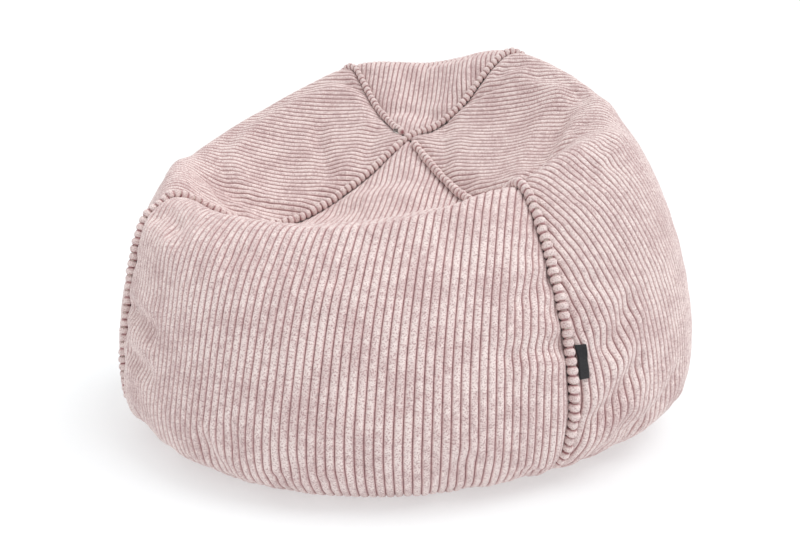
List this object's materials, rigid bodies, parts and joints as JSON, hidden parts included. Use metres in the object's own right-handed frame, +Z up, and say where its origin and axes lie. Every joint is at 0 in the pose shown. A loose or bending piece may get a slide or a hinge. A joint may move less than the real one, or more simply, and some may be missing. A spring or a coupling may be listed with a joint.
{
  "type": "bean bag chair",
  "caption": "Low bean bag chair with a sunken seat, four corduroy gores with corded piping that meet in the seat, a flat base with a zip, and a zipped liner full of beads.",
  "frame": {"origin": "on the floor, under the middle of the chair's outer size", "axes": "+Z up, the chair faces -Y, +X is on the left of somebody sitting in it"},
  "size_m": [0.875, 0.8571, 0.5726],
  "materials": {
    "corduroy": "matte",
    "base_cloth": "matte",
    "piping_cord": "matte",
    "liner_cloth": "matte",
    "zip_tape": "matte",
    "zip_plastic": "satin",
    "label_cloth": "matte",
    "beads": "matte"
  },
  "bodies": {
    "chair": {"back_left_piping": "corduroy", "back_left_piping_cord": "piping_cord", "back_panel": "corduroy", "base_panel_front": "base_cloth", "base_panel_rear": "base_cloth", "bead_fill": "beads", "cover_zip_coil_front": "zip_plastic", "cover_zip_coil_rear": "zip_plastic", "cover_zip_stops": "zip_plastic", "cover_zip_tape_front": "zip_tape", "cover_zip_tape_rear": "zip_tape", "crossing_piping": "corduroy", "crossing_piping_cord": "piping_cord", "front_panel": "corduroy", "front_right_piping": "corduroy", "front_right_piping_cord": "piping_cord", "left_panel": "corduroy", "liner_back": "liner_cloth", "liner_base_front": "liner_cloth", "liner_base_rear": "liner_cloth", "liner_front": "liner_cloth", "liner_left": "liner_cloth", "liner_right": "liner_cloth", "liner_zip_coil_front": "zip_plastic", "liner_zip_coil_rear": "zip_plastic", "liner_zip_stops": "zip_plastic", "liner_zip_tape_front": "zip_tape", "liner_zip_tape_rear": "zip_tape", "right_panel": "corduroy", "side_label": "label_cloth"},
    "cover_slider": {"cover_zip_slider": "zip_plastic"},
    "liner_slider": {"liner_zip_slider": "zip_plastic"}
  },
  "joints": [
    {"name": "cover_zip_run", "type": "slide", "parent": "chair", "child": "cover_slider", "axis": [-1, 0, 0], "range_m": [0, 0.409]},
    {"name": "liner_zip_run", "type": "slide", "parent": "chair", "child": "liner_slider", "axis": [-1, 0, 0], "range_m": [0, 0.409]}
  ]
}
